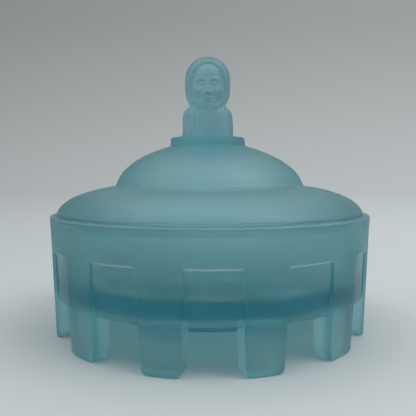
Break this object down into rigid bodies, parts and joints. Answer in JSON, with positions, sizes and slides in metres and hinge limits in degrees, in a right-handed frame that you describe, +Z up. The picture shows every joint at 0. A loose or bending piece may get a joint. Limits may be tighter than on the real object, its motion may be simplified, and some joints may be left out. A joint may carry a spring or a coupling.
{
  "type": "covered powder jar",
  "caption": "round satin pressed-glass powder jar on square legs cut out of its lower wall, with a stepped domed lid whose knob is a capped bust in a pleated collar",
  "frame": {"origin": "on the jar's axis, at the level of the table the feet stand on", "axes": "+Z up along the bowl's axis; -Y is the side the bust faces, through the middle of a recessed panel; +X to the right of someone looking at its face"},
  "size_m": [0.13, 0.13, 0.1117],
  "materials": {
    "satin_glass_bowl": "acid-frosted satin, aqua-teal through the body, darker where the glass is thick",
    "satin_glass_lid": "acid-frosted satin, aqua-teal through the body"
  },
  "bodies": {
    "bowl_body": {"bowl": "satin_glass_bowl"},
    "lid_body": {"lid": "satin_glass_lid"}
  },
  "joints": [
    {"name": "lid_lift", "type": "slide", "parent": "bowl_body", "child": "lid_body", "axis": [0, 0, 1], "range_m": [0, 0.06]}
  ]
}
